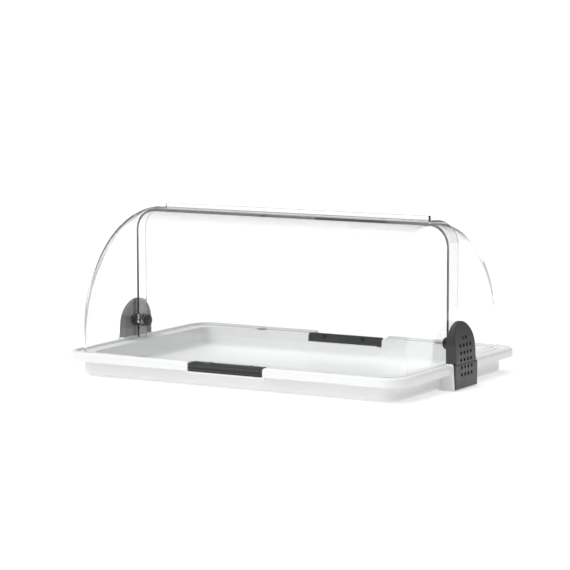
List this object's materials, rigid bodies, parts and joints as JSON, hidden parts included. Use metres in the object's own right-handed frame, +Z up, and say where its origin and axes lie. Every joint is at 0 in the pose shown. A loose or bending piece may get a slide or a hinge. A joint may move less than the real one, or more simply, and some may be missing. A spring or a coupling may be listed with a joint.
{
  "type": "countertop bread display bin",
  "caption": "Countertop display bin with a white tray and two clear quarter-round covers that roll over each other about pivots in perforated side plates.",
  "frame": {"origin": "on the counter, under the middle of the tray", "axes": "+X along the long side towards the right end, +Y from the customer's side to the server's side, +Z up"},
  "size_m": [0.4474, 0.296, 0.189],
  "materials": {
    "white_moulding": "glossy white moulding",
    "clear_cover": "clear polished plastic",
    "clear_ring": "clear moulded plastic",
    "grey_plastic": "fine-grained dark grey",
    "grip_plastic": "satin black",
    "black_plastic": "satin black",
    "rubber": "matt",
    "pad_silicone": "translucent soft",
    "steel_screw": "bright",
    "dark_screw": "blackened",
    "steel_pin": "turned"
  },
  "bodies": {
    "base": {"tray": "white_moulding", "rubber_feet": "rubber", "rest_pads": "pad_silicone", "left_side_plate": "grey_plastic", "left_bracket": "grey_plastic", "left_bracket_screws": "steel_screw", "left_pivot_bushing": "black_plastic", "left_pivot_pin": "steel_pin", "left_spacer_ring": "clear_ring", "left_knob_washer": "steel_screw", "left_pivot_knob": "black_plastic", "right_side_plate": "grey_plastic", "right_bracket": "grey_plastic", "right_bracket_screws": "steel_screw", "right_pivot_bushing": "black_plastic", "right_pivot_pin": "steel_pin", "right_spacer_ring": "clear_ring", "right_knob_washer": "steel_screw", "right_pivot_knob": "black_plastic"},
    "front_lid": {"front_cover": "clear_cover", "front_grip": "grip_plastic", "front_grip_screws": "dark_screw"},
    "rear_lid": {"rear_cover": "clear_cover", "rear_grip": "grip_plastic", "rear_grip_screws": "dark_screw"}
  },
  "joints": [
    {"name": "front_cover_hinge", "type": "hinge", "parent": "base", "child": "front_lid", "pos_m": [0, 0, 0.0485], "axis": [1, 0, 0], "range_deg": [-90, 0]},
    {"name": "rear_cover_hinge", "type": "hinge", "parent": "base", "child": "rear_lid", "pos_m": [0, 0, 0.0485], "axis": [1, 0, 0], "range_deg": [0, 90]}
  ]
}
